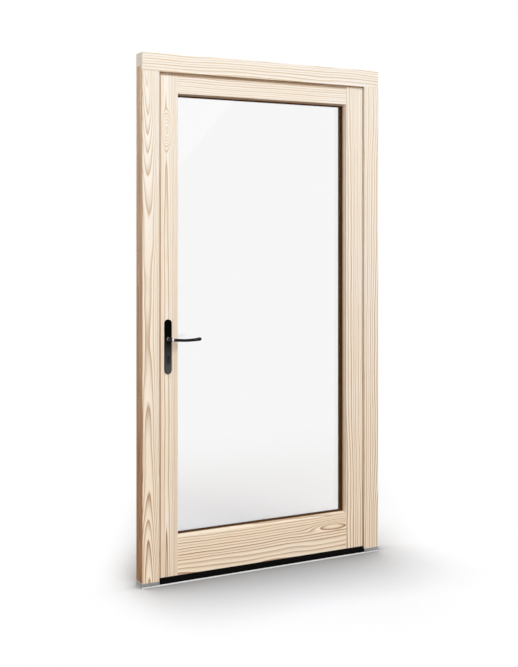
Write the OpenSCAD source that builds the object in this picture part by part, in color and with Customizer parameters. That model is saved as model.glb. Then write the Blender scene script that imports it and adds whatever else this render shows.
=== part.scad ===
// Glazed timber door in its frame: one leaf that opens inwards, with its lock on the left.
// Millimetres, +Z up. X runs along the width with the lock side negative, and Y runs from the outside
// (negative) to the inside. The origin is the middle of the threshold's underside.

/* [Frame] */
// Overall width of the frame
frame_w = 1100; // [900:10:1300]
// Overall height from the underside of the threshold
frame_h = 2100; // [1950:10:2400]
// Depth of the frame's timbers
frame_d = 68; // [64:1:80]
// Width of the jambs and the head on the outer face
frame_face = 72; // [66:1:90]
// Thickness of the outer lip that the leaf closes against
lip_t = 12; // [10:1:16]
// How far the lip covers the edge of the leaf
lip_overlap = 9; // [7:0.5:12]
// Radius of the rounded arrises of the timbers
arris_r = 2; // [1:0.5:3]

/* [Leaf] */
// Gap between the lip and the leaf's outer face, closed by the weather seal
seal_gap = 3; // [2:0.5:5]
// Gap between the leaf's edge and the frame's rebate, where the keeps are
rebate_gap = 12; // [11:0.5:14]
// Reach of the inner flange beyond the leaf's edge
flange_reach = 20; // [17:1:24]
// Gap between the frame's inner face and the flange
flange_gap = 2.5; // [1.5:0.5:4]
// Thickness of the inner flange
flange_t = 12.5; // [11:0.5:16]
// Width of the stiles from the leaf's edge to the bevel
stile_w = 93; // [84:1:110]
// Width of the top rail from the leaf's edge to the bevel
top_rail_w = 89; // [80:1:120]
// Width of the bottom rail from the leaf's lower edge to the bevel
bottom_rail_w = 152; // [110:1:260]
// Gap between the threshold and the leaf, closed by the bottom seal
bottom_gap = 8; // [6:0.5:12]
// Radius of the dowels in the corner joints
dowel_r = 6; // [4:0.5:8]
// Depth of a dowel in each of its two timbers
dowel_l = 38; // [25:1:42]

/* [Glazing] */
// Width of the bevel around the glass
bevel_w = 7; // [4:0.5:12]
// Square edge left below the bevel
lip_flat = 6; // [4:0.5:10]
// Thickness of each pane
pane_t = 4; // [3:0.5:6]
// Width of the space between the panes
cavity = 16; // [12:1:18]
// Thickness of the gaskets on both sides of the glass
gasket_t = 3; // [2:0.5:5]
// How far the outer gasket shows beyond the timber
gasket_show = 3; // [2:0.5:8]
// How far the timber covers the edge of the glass
glass_cover = 13; // [11:0.5:18]
// Space around the glass for the glazing blocks
edge_gap = 5; // [3:0.5:7]
// Width of the sealant around the spacer
sealant_w = 4; // [3:0.5:5]
// Width of the spacer bar
spacer_w = 7; // [5:0.5:8]
// Thickness of the glazing beads
bead_t = 12; // [10:1:16]
// Length of a glazing block
block_l = 100; // [60:5:140]

/* [Threshold] */
// Height of the threshold under the jambs
threshold_h = 20; // [17:1:30]
// Thickness of its aluminium base
base_t = 5; // [4:0.5:8]
// How far the base shows in front of the black core
base_show = 3; // [2:0.5:6]

/* [Hinges] */
// Radius of the hinge barrels
hinge_r = 9; // [8:0.5:11]
// Length of each half of a hinge
hinge_l = 46; // [40:1:60]
// Radius of the hinge pin
pin_r = 5; // [3.5:0.5:6]
// Radius of the threaded studs in the timber
stud_r = 3.5; // [3:0.5:4]
// Length of the studs in the timber
stud_l = 38; // [25:1:45]
// Distance from the leaf's ends to the nearest hinge
hinge_margin = 200; // [120:10:300]
// Clear space around the barrels
hinge_clear = 1; // [0.5:0.1:2]

/* [Lock] */
// Distance from the leaf's edge to the spindle
backset = 50; // [42:1:55]
// Height of the spindle above the floor
handle_h = 970; // [900:10:1100]
// Distance from the spindle down to the cylinder
cylinder_drop = 72; // [70:1:92]
// Distance from the flange to the middle of the faceplate
lock_line = 13; // [11:0.5:14]
// Width of the faceplate
faceplate_w = 16; // [15:0.5:18]
// Thickness of the faceplate
faceplate_t = 2.5; // [2:0.5:3]
// Distance from the leaf's ends to the faceplate's ends
faceplate_margin = 102; // [60:1:160]
// Width of the drive rod
rod_w = 12.4; // [11.6:0.2:13]
// Thickness of the drive rod
rod_t = 2.5; // [2:0.5:3]
// Travel of the drive rod
rod_travel = 18; // [14:1:20]
// Radius of the roller cams
cam_r = 4.5; // [4:0.25:5]
// Length of the roller cams
cam_l = 7.5; // [6:0.5:8]
// Distance from the faceplate's ends to the outer cams
cam_margin = 150; // [110:5:220]
// Distance from the gear case to the inner cams
cam_near = 120; // [80:5:200]
// Thickness of the gear case
case_t = 15; // [14:0.5:16]
// Height of the gear case above the spindle
case_above = 60; // [40:1:80]
// Height of the gear case below the cylinder
case_below = 45; // [38:1:60]
// Throw of the dead bolt
bolt_throw = 20; // [16:1:22]
// Height of the dead bolt
bolt_h = 20; // [16:1:24]
// Thickness of the dead bolt
bolt_t = 7.5; // [6:0.5:8]
// Length of a keep
keep_l = 60; // [50:1:70]

/* [Handle] */
// Width of the handle plates
plate_w = 30; // [28:0.5:36]
// Thickness of the handle plates
plate_t = 8; // [6:0.5:11]
// Height of the plates above the spindle
plate_above = 79; // [60:1:100]
// Height of the plates below the cylinder
plate_below = 65; // [45:1:90]
// Distance from the leaf's face to the middle of the grip
grip_reach = 47; // [40:1:60]
// Length of the outer lever from the spindle to the start of its round tip
grip_l = 118; // [95:1:140]
// Length of the inner lever from the spindle to the start of its round tip
inner_grip_l = 76; // [60:1:140]
// Height of the grip
grip_h = 12.5; // [10:0.5:16]
// Depth of the grip
grip_t = 16; // [12:0.5:20]
// How far the middle of the grip dips
grip_sag = 3; // [0:0.5:6]
// Radius of the lever's neck
neck_r = 8; // [7:0.5:9.5]
// Inner bend of the lever's elbow, along its middle line
elbow_r = 15; // [12:0.5:18]
// Side of the square spindle
spindle_w = 8; // [7:0.5:9]

/* [Fixing] */
// Radius of the wall fixing holes in the jambs
fixing_r = 5; // [3:0.5:6]
// Number of wall fixing holes in each jamb
fixing_count = 4; // [2:1:5]
// Distance from the jambs' ends to the nearest fixing hole
fixing_margin = 150; // [100:5:180]

/* [Hidden] */
$fn = 48;
// Play of turning pieces in their bores, of sliding pieces in their slots, and a cut's overrun
turn_play = 0.05;
slide_play = 0.3;
cut = 1;
// Depths, from the outside in
lip_back = -frame_d / 2 + lip_t;
frame_out = -frame_d / 2;
frame_in = frame_d / 2;
leaf_out = lip_back + seal_gap;
flange_out = frame_in + flange_gap;
leaf_in = flange_out + flange_t;
bead_out = leaf_in - bead_t;
glass_in = bead_out - gasket_t;
glass_out = glass_in - 2 * pane_t - cavity;
rebate_out = glass_out - gasket_t;
bevel_in = rebate_out - lip_flat;
lock_y = flange_out - lock_line;
joint_y = (rebate_out + leaf_in) / 2;
// Half widths, from the outside in
out_x = frame_w / 2;
lip_x = out_x - frame_face;
leaf_x = lip_x + lip_overlap;
rebate_x = leaf_x + rebate_gap;
flange_x = leaf_x + flange_reach;
bevel_x = leaf_x - stile_w;
rebate_depth = glass_cover + edge_gap - bevel_w;
floor_x = bevel_x + rebate_depth;
glass_x = floor_x - edge_gap;
jamb_x = (out_x + rebate_x) / 2;
// Heights
lip_z = frame_h - frame_face;
leaf_top = lip_z + lip_overlap;
rebate_z = leaf_top + rebate_gap;
flange_z = leaf_top + flange_reach;
leaf_bottom = threshold_h + bottom_gap;
bevel_top = leaf_top - top_rail_w;
bevel_bottom = leaf_bottom + bottom_rail_w;
floor_top = bevel_top + rebate_depth;
floor_bottom = bevel_bottom - rebate_depth;
glass_top = floor_top - edge_gap;
glass_bottom = floor_bottom + edge_gap;
// Length, radius and head radius of the wood screws
wood_screw = [30, 2, 4];
// Seals
seal_w = lip_overlap - 2;
seal_stem = [3, 5];
seal_x = lip_x + lip_overlap / 2;
seal_z = lip_z + lip_overlap / 2;
flange_seal_x = (rebate_x + flange_x) / 2;
flange_seal_z = (rebate_z + flange_z) / 2;
// Hinges
hinge_x = flange_x + hinge_clear + hinge_r;
hinge_y = frame_in + hinge_clear + hinge_r;
stud_y = (flange_out + leaf_in) / 2;
stud_z = [hinge_l * 0.3, hinge_l * 0.8];
hinge_z = [leaf_bottom + hinge_margin, (leaf_bottom + leaf_top) / 2, leaf_top - hinge_margin];
// Lock and handle
spindle_x = -leaf_x + backset;
cylinder_z = handle_h - cylinder_drop;
face_bottom = leaf_bottom + faceplate_margin;
face_top = leaf_top - faceplate_margin;
rod_front = -leaf_x + faceplate_t + slide_play;
rod_end = 30;
rod_bottom = face_bottom + rod_end + rod_travel;
rod_top = face_top - rod_end;
case_front = rod_front + rod_t + slide_play;
case_behind = 16;
case_back = spindle_x + case_behind;
case_top = handle_h + case_above;
case_bottom = cylinder_z - case_below;
cam_z = [face_bottom + cam_margin, case_bottom - cam_near, case_top + cam_near, face_top - cam_margin];
cam_neck_r = 3;
end_screw = 18;
case_screw = 16;
case_screw_z = [case_bottom - case_screw, case_top + case_screw];
face_screw_z = concat([face_bottom + end_screw], case_screw_z, [face_top - end_screw]);
key_r = 8.5;
plug_r = 6.5;
key_leg = [10, 24.5];
key_bridge = 10;
cam_sweep = 13.5;
key_gap = 10;
key_end = 2;
bolt_gap = 4.5;
bolt_room = 4;
bolt_z = cylinder_z + cam_sweep + bolt_gap + bolt_h / 2;
bolt_back = spindle_x - 8;
cylinder_screw_z = cylinder_z - key_leg[1] + key_bridge / 2;
cylinder_screw_r = 2.5;
keep_under = 1.5;
keep_over = 4;
keep_base = rebate_gap - cam_l - keep_under;
keep_wall = rebate_gap - keep_over;
keep_play = 0.4;
keep_screw_in = 7;
follower_r = 10;
journal_r = neck_r - 1;
plate_screw_in = 16;
plate_screw_z = [handle_h + plate_above - plate_screw_in, cylinder_z - plate_below + plate_screw_in];
fixing_step = (rebate_z - threshold_h - 2 * fixing_margin) / (fixing_count - 1);
fixing_z = [for (i = [0 : fixing_count - 1]) threshold_h + fixing_margin + i * fixing_step];
// Colours
pine = [0.93, 0.84, 0.71];
steel = [0.72, 0.73, 0.74];
alloy = [0.78, 0.79, 0.8];
black = [0.06, 0.06, 0.065];
rubber = [0.09, 0.09, 0.09];

// Points of a rounded corner between three points
function corner(a, b, c, r, n = 4) =
  let (u = (a - b) / norm(a - b))
  let (v = (c - b) / norm(c - b))
  let (half = acos(u * v) / 2)
  let (m = b + (u + v) / norm(u + v) * r / sin(half))
  let (s = b + u * r / tan(half) - m)
  let (e = b + v * r / tan(half) - m)
  let (from = atan2(s[1], s[0]))
  let (turn = atan2(s[0] * e[1] - s[1] * e[0], s * e))
  [for (i = [0 : n]) m + r * [cos(from + turn * i / n), sin(from + turn * i / n)]];

// An outline given as [x, y, radius] for each corner
function rounded(p) =
  let (n = len(p))
  [for (i = [0 : n - 1])
    let (b = p[i])
    let (a = p[(i + n - 1) % n])
    let (c = p[(i + 1) % n])
    each b[2] > 0 ? corner([a[0], a[1]], [b[0], b[1]], [c[0], c[1]], b[2]) : [[b[0], b[1]]]];

module box(low, high) {
  translate(low)
    cube(high - low);
}

// An outline in X and Y, raised along Z
module bar_z(outline, from, to) {
  translate([0, 0, from])
    linear_extrude(to - from)
      polygon(rounded(outline));
}

// An outline in Y and Z, drawn along X
module bar_x(outline, from, to) {
  translate([from, 0, 0])
    rotate([90, 0, 90])
      linear_extrude(to - from)
        polygon(rounded(outline));
}

// An outline in X and Z, drawn along Y
module bar_y(outline, from, to) {
  translate([0, to, 0])
    rotate([90, 0, 0])
      linear_extrude(to - from)
        polygon(rounded(outline));
}

module along_x(p, length, r) {
  translate(p)
    rotate([0, 90, 0])
      cylinder(h = length, r = r);
}

module along_y(p, length, r) {
  translate(p)
    rotate([-90, 0, 0])
      cylinder(h = length, r = r);
}

module hinge_side() {
  mirror([1, 0, 0])
    children();
}

module both_sides() {
  children();
  hinge_side()
    children();
}

// The inner face repeats the outer face of the leaf
module inner_face() {
  translate([0, leaf_out + leaf_in, 0])
    mirror([0, 1, 0])
      children();
}

// A countersunk screw along Z, with its head's face at the origin and its shank upwards
module screw(length, r, head_r, clear = 0) {
  rotate_extrude()
    polygon([[0, 0], [head_r + clear, 0], [r + clear, head_r - r], [r + clear, length + clear],
      [0, length + r + clear]]);
}

// A strip around the glass on one side, mitred at both ends. Its section is in [reach over the
// opening, depth], and the reach starts at the bevel's outer edge.
mitre_in = 40;
mitre_out = 30;

module lock_strip(section) {
  outline = [for (p = section) [-bevel_x + p[0], p[1], 0]];
  low = bevel_bottom;
  high = bevel_top;
  mitre = [[-bevel_x - mitre_out, low - mitre_out, 0], [-bevel_x + mitre_in, low + mitre_in, 0],
    [-bevel_x + mitre_in, high - mitre_in, 0], [-bevel_x - mitre_out, high + mitre_out, 0]];
  intersection() {
    bar_z(outline, low - mitre_out, high + mitre_out);
    bar_y(mitre, leaf_out - cut, leaf_in + cut);
  }
}

module hinge_strip(section) {
  hinge_side()
    lock_strip(section);
}

module level_strip(section, z, up) {
  outline = [for (p = section) [p[1], z + up * p[0], 0]];
  mitre = [[-bevel_x - mitre_out, z - up * mitre_out, 0], [bevel_x + mitre_out, z - up * mitre_out, 0],
    [bevel_x - mitre_in, z + up * mitre_in, 0], [-bevel_x + mitre_in, z + up * mitre_in, 0]];
  intersection() {
    bar_x(outline, -bevel_x - mitre_out, bevel_x + mitre_out);
    bar_y(mitre, leaf_out - cut, leaf_in + cut);
  }
}

module top_strip(section) {
  level_strip(section, bevel_top, -1);
}

module bottom_strip(section) {
  level_strip(section, bevel_bottom, 1);
}

module glass_ring(section) {
  lock_strip(section);
  hinge_strip(section);
  top_strip(section);
  bottom_strip(section);
}

bevel_section = [[0, leaf_out], [bevel_w, bevel_in], [bevel_w, rebate_out], [0, rebate_out]];
gasket_section = [[bevel_w - glass_cover / 2, rebate_out], [bevel_w, rebate_out],
  [bevel_w, bevel_in + 1], [bevel_w + gasket_show, glass_out], [bevel_w - glass_cover / 2, glass_out]];
inner_gasket_section = [[bevel_w - glass_cover / 2, glass_in], [bevel_w + 1, glass_in],
  [bevel_w + 1, bead_out], [bevel_w - glass_cover / 2, bead_out]];
bead_section = [[-rebate_depth, bead_out], [bevel_w, bead_out], [bevel_w, bead_out + bead_t / 3],
  [bevel_w - 1, bead_out + bead_t / 2], [bevel_w - 4, leaf_in - 1.5], [bevel_w - 6, leaf_in],
  [-rebate_depth, leaf_in]];

// Weather seal in the frame's lip: a stem in a groove and a flat bulb towards the leaf
module seal_stem_bars() {
  both_sides()
    box([-seal_x - seal_stem[0] / 2, lip_back - seal_stem[1], threshold_h],
      [-seal_x + seal_stem[0] / 2, lip_back, seal_z + seal_stem[0] / 2]);
  box([-seal_x, lip_back - seal_stem[1], seal_z - seal_stem[0] / 2],
    [seal_x, lip_back, seal_z + seal_stem[0] / 2]);
}

module weather_seal() {
  thick = seal_gap - slide_play;
  color(rubber) {
    seal_stem_bars();
    both_sides()
      box([-seal_x - seal_w / 2, lip_back, threshold_h],
        [-seal_x + seal_w / 2, lip_back + thick, seal_z + seal_w / 2]);
    box([-seal_x, lip_back, seal_z - seal_w / 2], [seal_x, lip_back + thick, seal_z + seal_w / 2]);
  }
}

// Frame timbers
module lip_section() {
  linear_extrude(lip_z - threshold_h)
    polygon(rounded([[-out_x, frame_out, arris_r], [-lip_x, frame_out, arris_r], [-lip_x, lip_back, 0],
      [-out_x, lip_back, 0]]));
}

module jamb_section() {
  linear_extrude(rebate_z - threshold_h)
    polygon(rounded([[-out_x, lip_back, 0], [-rebate_x, lip_back, 0], [-rebate_x, frame_in, arris_r],
      [-out_x, frame_in, arris_r]]));
}

module fixing_holes() {
  for (z = fixing_z) {
    along_x([-out_x - cut, 0, z], out_x - rebate_x + 2 * cut, fixing_r);
    along_x([-rebate_x - 8, 0, z], 8 + cut, fixing_r + 3);
  }
}

module jamb() {
  difference() {
    translate([0, 0, threshold_h]) {
      lip_section();
      jamb_section();
    }
    fixing_holes();
    seal_stem_bars();
    frame_dowel_bodies();
    foot_screw_bodies();
    children();
  }
}

module jamb_lock() {
  color(pine)
    jamb() {
      keep_screw_bodies();
      bolt_pocket();
    }
}

module jamb_hinge() {
  color(pine)
    hinge_side()
      jamb()
        hinge_side()
          for (z = hinge_z)
            frame_studs(z);
}

module head() {
  color(pine)
    difference() {
      union() {
        bar_x([[frame_out, lip_z, arris_r], [lip_back, lip_z, 0], [lip_back, frame_h, 0],
          [frame_out, frame_h, arris_r]], -out_x, out_x);
        bar_x([[lip_back, rebate_z, 0], [frame_in, rebate_z, arris_r], [frame_in, frame_h, arris_r],
          [lip_back, frame_h, 0]], -out_x, out_x);
      }
      seal_stem_bars();
      frame_dowel_bodies();
    }
}

module frame_dowel_bodies() {
  both_sides()
    for (y = [lip_back + 3 * dowel_r, frame_in - 3 * dowel_r])
      translate([-jamb_x, y, rebate_z - dowel_l])
        cylinder(h = 2 * dowel_l, r = dowel_r);
}

module frame_dowels() {
  color("burlywood")
    frame_dowel_bodies();
}

// Threshold: an aluminium base, a black core between the jambs and a foot under each jamb
groove_w = 8;
groove_d = 1.5;
groove_in = 10;

module threshold_base() {
  color(alloy)
    difference() {
      bar_x([[frame_out, 0, 0.8], [frame_in, 0, 0.8], [frame_in, base_t, 0.8], [frame_out, base_t, 1.5]],
        -out_x, out_x);
      for (y = [frame_out + groove_in, frame_in - groove_in])
        box([-out_x - cut, y - groove_w / 2, -cut], [out_x + cut, y + groove_w / 2, groove_d]);
      foot_screw_bodies();
    }
}

module threshold_core() {
  wall = 2.5;
  front = frame_out + base_show;
  chamber = (frame_in - front - 4 * wall) / 3;
  color(black)
    difference() {
      union() {
        box([-lip_x, front, base_t], [lip_x, lip_back, threshold_h]);
        box([-rebate_x, lip_back, base_t], [rebate_x, frame_in, threshold_h]);
      }
      for (i = [0 : 2])
        box([-rebate_x - cut, front + wall + i * (chamber + wall), base_t + wall],
          [rebate_x + cut, front + (i + 1) * (chamber + wall), threshold_h - wall]);
    }
}

module foot() {
  color(alloy)
    difference() {
      bar_z([[-out_x, frame_out, arris_r], [-lip_x, frame_out, 0], [-lip_x, lip_back, 0],
        [-rebate_x, lip_back, 0], [-rebate_x, frame_in, 0], [-out_x, frame_in, arris_r]],
        base_t, threshold_h);
      foot_screw_bodies();
    }
}

module foot_lock() {
  foot();
}

module foot_hinge() {
  hinge_side()
    foot();
}

foot_screw_r = 3;
foot_screw_grip = 40;
foot_screw_in = [14, 22];

module foot_screw_bodies() {
  both_sides()
    for (y = [lip_back + foot_screw_in[0], frame_in - foot_screw_in[1]])
      translate([-jamb_x, y, 0])
        screw(threshold_h + foot_screw_grip, foot_screw_r, 2 * foot_screw_r);
}

module foot_screws() {
  color(steel)
    foot_screw_bodies();
}

// Keeps on the lock jamb: a base plate, and a wall that holds the roller cam from the inside
module keep(i) {
  z = cam_z[i] - rod_travel;
  wall_out = lock_y + cam_r + keep_play;
  half = cam_r + 5;
  color(steel)
    difference() {
      union() {
        bar_y([[-rebate_x, z - keep_l / 2, 0], [-rebate_x + keep_base, z - keep_l / 2, 1],
          [-rebate_x + keep_base, z + keep_l / 2, 1], [-rebate_x, z + keep_l / 2, 0]],
          lock_y - faceplate_w / 2, frame_in);
        bar_y([[-rebate_x, z - half - 8, 0], [-rebate_x + keep_wall, z - half, 1],
          [-rebate_x + keep_wall, z + half - 2, 1], [-rebate_x, z + half + 6, 0]], wall_out, frame_in);
      }
      keep_screw_bodies();
    }
}

module keep_bottom() {
  keep(0);
}

module keep_lower() {
  keep(1);
}

module keep_upper() {
  keep(2);
}

module keep_top() {
  keep(3);
}

bolt_plate_end = 22;
bolt_plate_l = bolt_h + 2 * bolt_plate_end;

module bolt_pocket() {
  box([-leaf_x - bolt_throw - bolt_room, lock_y - bolt_t / 2 - 1, bolt_z - bolt_h / 2 - 1],
    [-rebate_x + keep_base + cut, lock_y + bolt_t / 2 + 1, bolt_z + bolt_h / 2 + 1]);
}

module keep_bolt() {
  half = bolt_plate_l / 2;
  color(steel)
    difference() {
      bar_y([[-rebate_x, bolt_z - half, 0], [-rebate_x + keep_base, bolt_z - half, 1],
        [-rebate_x + keep_base, bolt_z + half, 1], [-rebate_x, bolt_z + half, 0]],
        lock_y - faceplate_w / 2, frame_in);
      bolt_pocket();
      keep_screw_bodies();
    }
}

module keep_screw_bodies() {
  cam_keep = keep_l / 2 - keep_screw_in;
  bolt_keep = bolt_plate_l / 2 - keep_screw_in;
  keep_z = [for (z = cam_z) each [z - rod_travel - cam_keep, z - rod_travel + cam_keep]];
  for (z = concat(keep_z, [bolt_z - bolt_keep, bolt_z + bolt_keep]))
    translate([-rebate_x + keep_base, lock_y, z])
      rotate([0, -90, 0])
        screw(wood_screw[0], wood_screw[1], wood_screw[2]);
}

module keep_screws() {
  color(steel)
    keep_screw_bodies();
}

// Hinges: the lower half with its pin is on the frame, and the upper half is on the leaf
module frame_studs(z) {
  for (d = stud_z)
    along_y([hinge_x, frame_in - stud_l, z - d], stud_l + hinge_clear + hinge_r / 2, stud_r);
}

module leaf_studs(z) {
  for (d = stud_z)
    along_x([flange_x - stud_l, stud_y, z + d], stud_l + hinge_clear + hinge_r / 2, stud_r);
}

module barrel(length, bore_r, bore_l) {
  difference() {
    rotate_extrude()
      polygon(rounded([[0, 0, 0], [hinge_r, 0, 0.6], [hinge_r, length, 4], [0, length, 0]]));
    if (bore_r > 0)
      translate([0, 0, -cut])
        cylinder(h = bore_l + cut, r = bore_r);
  }
}

module hinge_pin(i) {
  color(steel) {
    translate([hinge_x, hinge_y, hinge_z[i]]) {
      mirror([0, 0, 1])
        barrel(hinge_l, 0, 0);
      translate([0, 0, -cut])
        cylinder(h = hinge_l * 0.75 + cut, r = pin_r);
    }
    frame_studs(hinge_z[i]);
  }
}

module hinge_barrel(i) {
  bore_l = hinge_l * 0.75 + slide_play;
  color(steel) {
    translate([hinge_x, hinge_y, hinge_z[i] + slide_play])
      barrel(hinge_l, pin_r + turn_play, bore_l);
    difference() {
      leaf_studs(hinge_z[i]);
      translate([hinge_x, hinge_y, hinge_z[i]])
        cylinder(h = bore_l + slide_play, r = hinge_r * 0.75);
    }
  }
}

module hinge_pin_bottom() {
  hinge_pin(0);
}

module hinge_pin_middle() {
  hinge_pin(1);
}

module hinge_pin_top() {
  hinge_pin(2);
}

module hinge_barrel_bottom() {
  hinge_barrel(0);
}

module hinge_barrel_middle() {
  hinge_barrel(1);
}

module hinge_barrel_top() {
  hinge_barrel(2);
}

// Leaf timbers: the stiles run the whole height, and the rails are scribed between them
module stile() {
  bar_z([[-leaf_x, leaf_out, arris_r], [-bevel_x, leaf_out, 0], [-bevel_x, rebate_out, 0],
    [-floor_x, rebate_out, 0], [-floor_x, leaf_in, 0], [-leaf_x, leaf_in, 0]], leaf_bottom, leaf_top);
  bar_z([[-flange_x, flange_out, arris_r], [-leaf_x, flange_out, 0], [-leaf_x, leaf_in, 0],
    [-flange_x, leaf_in, arris_r]], leaf_bottom, flange_z);
  box([-leaf_x, flange_out, leaf_top], [-floor_x, leaf_in, flange_z]);
  lock_strip(bevel_section);
}

module stile_lock() {
  color(pine)
    difference() {
      stile();
      lock_mortise();
      leaf_dowel_bodies();
      face_screw_bodies();
      leaf_seal_cuts();
    }
}

module stile_hinge() {
  color(pine)
    difference() {
      hinge_side()
        stile();
      leaf_dowel_bodies();
      for (z = hinge_z)
        leaf_studs(z);
      leaf_seal_cuts();
    }
}

module rail_top() {
  color(pine)
    difference() {
      union() {
        box([-bevel_x, leaf_out, bevel_top], [bevel_x, rebate_out, leaf_top]);
        box([-floor_x, rebate_out, floor_top], [floor_x, leaf_in, leaf_top]);
        bar_x([[flange_out, leaf_top, 0], [leaf_in, leaf_top, 0], [leaf_in, flange_z, arris_r],
          [flange_out, flange_z, arris_r]], -floor_x, floor_x);
        top_strip(bevel_section);
      }
      leaf_dowel_bodies();
      leaf_seal_cuts();
    }
}

module rail_bottom() {
  color(pine)
    difference() {
      union() {
        box([-bevel_x, leaf_out, leaf_bottom], [bevel_x, rebate_out, bevel_bottom]);
        box([-floor_x, rebate_out, leaf_bottom], [floor_x, leaf_in, floor_bottom]);
        bottom_strip(bevel_section);
      }
      leaf_dowel_bodies();
      leaf_seal_cuts();
    }
}

module leaf_dowel_bodies() {
  inset = 2.5 * dowel_r;
  for (z = [floor_top + inset, leaf_top - inset, leaf_bottom + 2 * inset, floor_bottom - inset])
    both_sides()
      along_x([-floor_x - dowel_l, joint_y, z], 2 * dowel_l, dowel_r);
}

module leaf_dowels() {
  color("burlywood")
    leaf_dowel_bodies();
}

// Seals on the leaf: one on the flange all round the top and sides, one under the leaf
flange_seal_w = 5;
flange_stem = [2.5, stud_y - stud_r - slide_play - flange_out];

module flange_seal_bars(from, to, w) {
  both_sides()
    box([-flange_seal_x - w / 2, from, leaf_bottom], [-flange_seal_x + w / 2, to, flange_seal_z + w / 2]);
  box([-flange_seal_x, from, flange_seal_z - w / 2], [flange_seal_x, to, flange_seal_z + w / 2]);
}

bottom_seal_y = [leaf_out + 2, leaf_out + 12];
bottom_stem = [4, 6];

module bottom_stem_bar() {
  middle = (bottom_seal_y[0] + bottom_seal_y[1]) / 2;
  box([-leaf_x, middle - bottom_stem[0] / 2, leaf_bottom],
    [leaf_x, middle + bottom_stem[0] / 2, leaf_bottom + bottom_stem[1]]);
}

module leaf_seal_cuts() {
  flange_seal_bars(flange_out, flange_out + flange_stem[1], flange_stem[0]);
  bottom_stem_bar();
}

module flange_seal() {
  color(rubber) {
    flange_seal_bars(flange_out, flange_out + flange_stem[1], flange_stem[0]);
    flange_seal_bars(frame_in + slide_play, flange_out, flange_seal_w);
  }
}

module bottom_seal() {
  tip = threshold_h + slide_play;
  color(rubber) {
    bar_x([[bottom_seal_y[0], leaf_bottom, 0], [bottom_seal_y[1], leaf_bottom, 0],
      [bottom_seal_y[1] - 1, tip, 1], [bottom_seal_y[0] + 1, tip, 1]], -leaf_x, leaf_x);
    bottom_stem_bar();
  }
}

// Glazing
module pane(from) {
  box([-glass_x, from, glass_bottom], [glass_x, from + pane_t, glass_top]);
}

module pane_outer() {
  color([0.85, 0.92, 0.93, 0.35])
    pane(glass_out);
}

module pane_inner() {
  color([0.85, 0.92, 0.93, 0.35])
    pane(glass_in - pane_t);
}

module cavity_ring(inset, w) {
  outer = [glass_x - inset, glass_top - inset, glass_bottom + inset];
  difference() {
    box([-outer[0], glass_out + pane_t, outer[2]], [outer[0], glass_in - pane_t, outer[1]]);
    box([-outer[0] + w, glass_out, outer[2] + w], [outer[0] - w, glass_in, outer[1] - w]);
  }
}

module glass_spacer() {
  color(black)
    cavity_ring(sealant_w, spacer_w);
}

module glass_sealant() {
  color(rubber)
    cavity_ring(0, sealant_w);
}

module gasket_outer() {
  color(rubber)
    glass_ring(gasket_section);
}

module gasket_inner() {
  color(rubber)
    glass_ring(inner_gasket_section);
}

module bead_lock() {
  color(pine)
    lock_strip(bead_section);
}

module bead_hinge() {
  color(pine)
    hinge_strip(bead_section);
}

module bead_top() {
  color(pine)
    top_strip(bead_section);
}

module bead_bottom() {
  color(pine)
    bottom_strip(bead_section);
}

module glazing_blocks() {
  corner_gap = 150;
  color("royalblue") {
    for (x = [-glass_x + corner_gap, glass_x - corner_gap - block_l])
      for (z = [floor_bottom, glass_top])
        box([x, glass_out, z], [x + block_l, glass_in, z + edge_gap]);
    for (z = [glass_bottom + corner_gap, glass_top - corner_gap - block_l])
      both_sides()
        box([-floor_x, glass_out, z], [-glass_x, glass_in, z + block_l]);
  }
}

// Lock in the leaf's edge: faceplate, drive rod with cams, gear case, dead bolt and cylinder
module slot_x(z_low, z_high, w, from, to) {
  box([from, lock_y - w / 2, z_low], [to, lock_y + w / 2, z_high]);
}

// Profile of the cylinder: a round top and a leg with a round foot
module key_profile(clear, from, to) {
  along_y([spindle_x, from, cylinder_z], to - from, key_r + clear);
  foot_r = key_leg[0] / 2;
  along_y([spindle_x, from, cylinder_z - key_leg[1] + foot_r], to - from, foot_r + clear);
  box([spindle_x - foot_r - clear, from, cylinder_z - key_leg[1] + foot_r],
    [spindle_x + foot_r + clear, to, cylinder_z]);
}

module lock_mortise() {
  slot_x(face_bottom, face_top, faceplate_w, -leaf_x - cut, -leaf_x + faceplate_t);
  slot_x(face_bottom + rod_end - cut, face_top - rod_end + cut, rod_w + slide_play, -leaf_x, case_front);
  slot_x(case_bottom, case_top, case_t, -leaf_x, case_back);
  along_y([spindle_x, leaf_out - cut, handle_h], leaf_in - leaf_out + 2 * cut, follower_r + 2);
  key_profile(0.5, leaf_out - cut, leaf_in + cut);
  plate_screw_holes();
}

module faceplate() {
  end_r = faceplate_w / 2 - 0.5;
  color(steel)
    difference() {
      bar_x([[lock_y - faceplate_w / 2, face_bottom, end_r], [lock_y + faceplate_w / 2, face_bottom, end_r],
        [lock_y + faceplate_w / 2, face_top, end_r], [lock_y - faceplate_w / 2, face_top, end_r]],
        -leaf_x, -leaf_x + faceplate_t);
      for (z = cam_z)
        slot_x(z - rod_travel - cam_neck_r - slide_play, z + cam_neck_r + slide_play,
          2 * cam_neck_r + 2 * slide_play, -leaf_x - cut, -leaf_x + faceplate_t + cut);
      slot_x(bolt_z - bolt_h / 2 - slide_play, bolt_z + bolt_h / 2 + slide_play, bolt_t + 2 * slide_play,
        -leaf_x - cut, -leaf_x + faceplate_t + cut);
      face_screw_bodies();
      cylinder_screw_body();
    }
}

module face_screw_bodies() {
  for (z = face_screw_z)
    translate([-leaf_x, lock_y, z])
      rotate([0, 90, 0])
        screw(wood_screw[0], wood_screw[1], wood_screw[2]);
}

module faceplate_screws() {
  color(steel)
    face_screw_bodies();
}

// The drive rod is two bars with a window between them for the dead bolt and the cylinder's screw
window_room = 1;
window_bottom = cylinder_screw_z - cylinder_screw_r - window_room;
window_top = bolt_z + bolt_h / 2 + rod_travel + window_room;

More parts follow.
